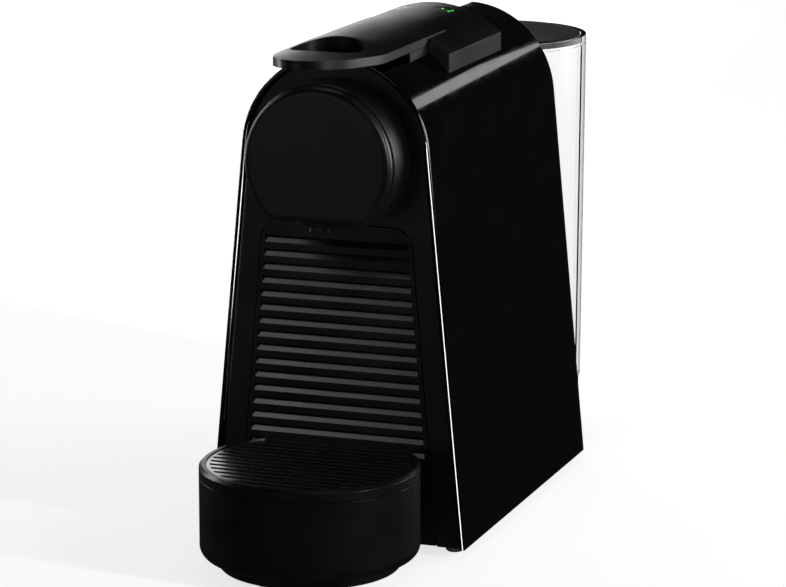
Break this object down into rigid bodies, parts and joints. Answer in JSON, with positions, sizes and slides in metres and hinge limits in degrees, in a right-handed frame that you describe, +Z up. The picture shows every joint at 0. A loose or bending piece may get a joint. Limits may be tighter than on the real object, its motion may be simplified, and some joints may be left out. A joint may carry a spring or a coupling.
{
  "type": "pod coffee machine",
  "caption": "Narrow pod coffee machine with an arched casing, round brew head, flip-up lever, ribbed capsule container on a round drip base, and a clear lift-off rear water tank.",
  "frame": {"origin": "on the floor, under the middle of the machine's outside box", "axes": "+Z up, -Y towards the front where the cup stands, +X to the right of someone who faces the front"},
  "size_m": [0.11, 0.3186, 0.2074],
  "materials": {
    "gloss_shell": "polished black ABS",
    "satin_shell": "satin black ABS",
    "drip_shell": "smooth satin black ABS",
    "black_moulding": "fine grained black moulding",
    "clear_tank": "clear moulded copolyester",
    "white_moulding": "natural nylon",
    "rubber": "soft black rubber",
    "steel": "stamped and turned steel",
    "pump_body": "glass-filled black nylon",
    "heater": "die-cast aluminium",
    "brass_fitting": "turned brass",
    "circuit": "solder-masked board",
    "silicone": "translucent silicone tube",
    "light_guide": "clear light guide lit green"
  },
  "bodies": {
    "machine": {"outer_casing": "gloss_shell", "front_panel": "satin_shell", "rear_panel": "black_moulding", "cord_gland": "rubber", "base_plate": "black_moulding", "rubber_feet": "rubber", "top_saddle": "satin_shell", "hinge_pin": "steel", "brew_side_plates": "pump_body", "plate_spacer": "steel", "frame_screws": "steel", "brew_block": "black_moulding", "pyramid_plate": "steel", "capsule_rails": "black_moulding", "capsule_chute": "black_moulding", "head_collar": "satin_shell", "head_cap": "satin_shell", "coffee_outlet": "satin_shell", "tank_base": "black_moulding", "tank_seal": "rubber", "button_board": "circuit", "button_switches": "circuit", "pump": "pump_body", "pump_coil": "steel", "pump_dampers": "rubber", "flow_meter": "white_moulding", "thermoblock": "heater", "thermal_fuse": "heater", "control_board": "circuit", "suction_tube": "silicone", "pump_tube": "silicone", "pressure_tube": "silicone", "brew_hose": "silicone", "base_screws": "steel"},
    "lever": {"lever": "satin_shell", "lever_cams": "satin_shell"},
    "carriage": {"capsule_cage": "white_moulding", "follower_pin": "steel", "needle_plate": "steel", "inlet_elbow": "brass_fitting"},
    "espresso_button": {"espresso_button": "satin_shell", "espresso_light": "light_guide"},
    "lungo_button": {"lungo_button": "satin_shell", "lungo_light": "light_guide"},
    "drawer": {"capsule_container": "drip_shell", "drip_base": "drip_shell", "drip_foot": "rubber", "drip_tray": "black_moulding"},
    "cup_grid": {"grid_ring": "drip_shell", "cup_grid": "drip_shell"},
    "water_tank": {"water_tank": "clear_tank"},
    "tank_lid": {"tank_lid": "black_moulding"},
    "tank_valve": {"tank_valve": "white_moulding"}
  },
  "joints": [
    {"name": "lever_hinge", "type": "hinge", "parent": "machine", "child": "lever", "pos_m": [0, -0.0235, 0.1945], "axis": [-1, 0, 0], "range_deg": [0, 85]},
    {"name": "carriage_slide", "type": "slide", "parent": "machine", "child": "carriage", "axis": [0, 1, 0], "range_m": [0, 0.032], "deforming": ["brew_hose"]},
    {"name": "espresso_press", "type": "slide", "parent": "machine", "child": "espresso_button", "axis": [0, 0, -1], "range_m": [0, 0.0012], "stiffness_N_per_m": 900, "springref_m": -0.0008},
    {"name": "lungo_press", "type": "slide", "parent": "machine", "child": "lungo_button", "axis": [0, 0, -1], "range_m": [0, 0.0012], "stiffness_N_per_m": 900, "springref_m": -0.0008},
    {"name": "drawer_slide", "type": "slide", "parent": "machine", "child": "drawer", "axis": [0, -1, 0], "range_m": [0, 0.14]},
    {"name": "grid_lift", "type": "slide", "parent": "drawer", "child": "cup_grid", "axis": [0, 0, 1], "range_m": [0, 0.06]},
    {"name": "tank_lift", "type": "slide", "parent": "machine", "child": "water_tank", "axis": [0, 0, 1], "range_m": [0, 0.18]},
    {"name": "lid_lift", "type": "slide", "parent": "water_tank", "child": "tank_lid", "axis": [0, 0, 1], "range_m": [0, 0.05]},
    {"name": "valve_press", "type": "slide", "parent": "water_tank", "child": "tank_valve", "axis": [0, 0, 1], "range_m": [0, 0.002], "stiffness_N_per_m": 250, "springref_m": -0.002}
  ],
  "couplings": [
    {"joint": "carriage_slide", "follows": "lever_hinge", "m_per_rad": 0.02157}
  ]
}
